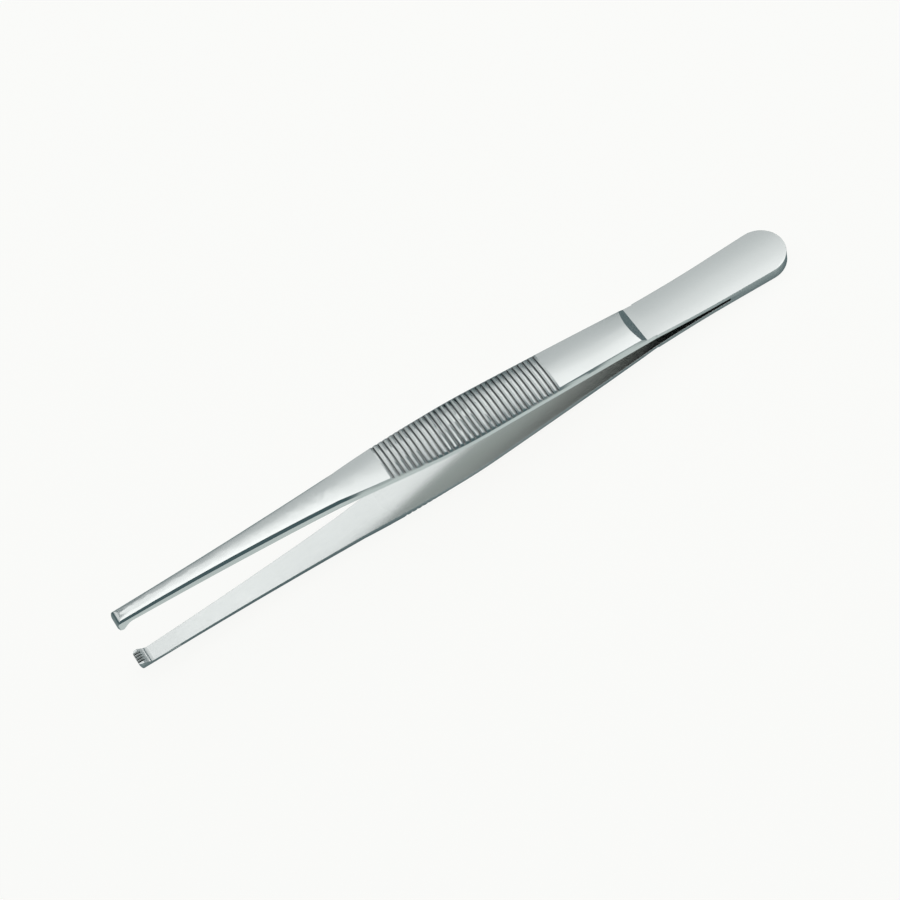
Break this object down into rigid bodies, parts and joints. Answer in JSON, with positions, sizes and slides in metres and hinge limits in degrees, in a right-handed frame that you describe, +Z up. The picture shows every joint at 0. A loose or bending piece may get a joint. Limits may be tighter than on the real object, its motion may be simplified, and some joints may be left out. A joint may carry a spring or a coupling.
{
  "type": "thumb forceps",
  "caption": "Slim sprung forceps with ribbed finger grips, a flat rounded head and turned-in toothed tips, lying on one blade.",
  "frame": {"origin": "middle of the outline's box, on the surface that the forceps lies on", "axes": "+X along the length, from the toothed tips to the rounded butt; +Y across the blades; +Z up, away from the surface, the way the upper blade opens"},
  "size_m": [0.1452, 0.0104, 0.0209],
  "materials": {
    "blade_steel": "satin, ground along the length",
    "spacer_steel": "satin, ground flush with the blades"
  },
  "bodies": {
    "root": {"upper_blade": "blade_steel", "lower_blade": "blade_steel", "butt_spacer": "spacer_steel"}
  },
  "joints": []
}
